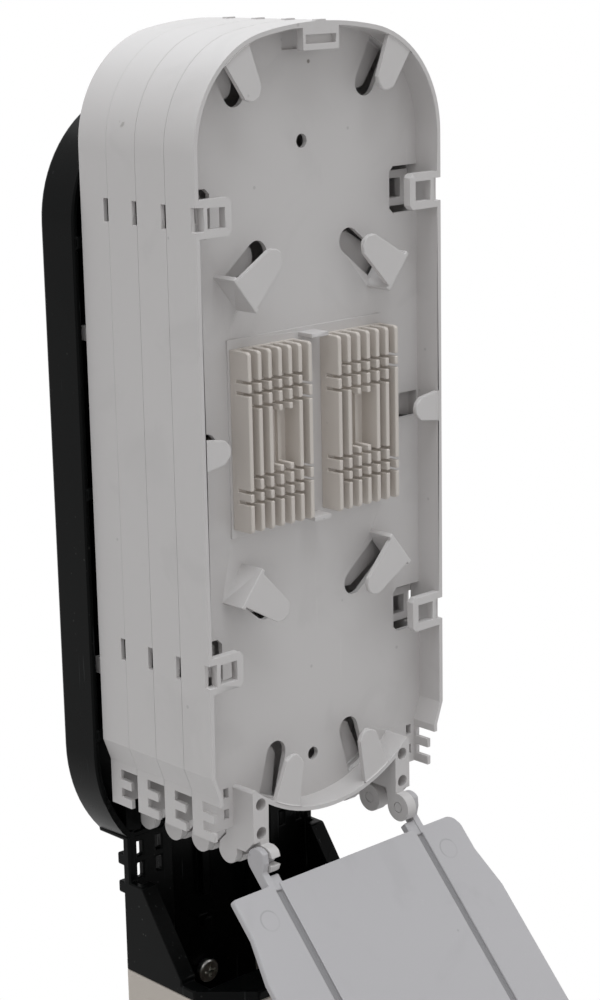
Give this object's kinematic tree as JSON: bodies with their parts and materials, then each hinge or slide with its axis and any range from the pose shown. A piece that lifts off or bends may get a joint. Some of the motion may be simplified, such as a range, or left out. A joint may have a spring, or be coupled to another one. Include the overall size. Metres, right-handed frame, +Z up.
{
  "type": "fibre splice closure",
  "caption": "Fibre splice closure without its dome: hinged splice trays with comb holders on a black carrier, lid open, on a grey base with closed cable ports.",
  "frame": {"origin": "middle of the base's footprint, on the ground", "axes": "+Z up, trays open towards -Y, hinge axes along X"},
  "size_m": [0.124, 0.2404, 0.4716],
  "materials": {
    "tray": "fine matte moulded",
    "holder": "soft matte moulded",
    "lid": "fine matte moulded",
    "carrier": "glossy moulded",
    "base": "matte moulded",
    "seal": "matte",
    "screw": "bright zinc"
  },
  "bodies": {
    "base": {"base_head": "base", "sealing_ring": "seal", "carrier": "carrier", "carrier_screw": "screw"},
    "tray_1": {"tray_1": "tray", "splice_holder_1_left": "holder", "splice_holder_1_right": "holder"},
    "tray_2": {"tray_2": "tray", "splice_holder_2_left": "holder", "splice_holder_2_right": "holder"},
    "tray_3": {"tray_3": "tray", "splice_holder_3_left": "holder", "splice_holder_3_right": "holder"},
    "tray_4": {"tray_4": "tray", "splice_holder_4_left": "holder", "splice_holder_4_right": "holder"},
    "lid": {"tray_lid": "lid"}
  },
  "joints": [
    {"name": "tray_1_hinge", "type": "hinge", "parent": "base", "child": "tray_1", "pos_m": [0, 0.0131, 0.24], "axis": [1, 0, 0], "range_deg": [0, 20]},
    {"name": "tray_2_hinge", "type": "hinge", "parent": "tray_1", "child": "tray_2", "pos_m": [0, 0.001, 0.24], "axis": [1, 0, 0], "range_deg": [0, 20]},
    {"name": "tray_3_hinge", "type": "hinge", "parent": "tray_2", "child": "tray_3", "pos_m": [0, -0.0111, 0.24], "axis": [1, 0, 0], "range_deg": [0, 20]},
    {"name": "tray_4_hinge", "type": "hinge", "parent": "tray_3", "child": "tray_4", "pos_m": [0, -0.0232, 0.24], "axis": [1, 0, 0], "range_deg": [0, 20]},
    {"name": "lid_hinge", "type": "hinge", "parent": "tray_4", "child": "lid", "pos_m": [0, -0.0353, 0.24], "axis": [-1, 0, 0], "range_deg": [0, 137.5]}
  ]
}
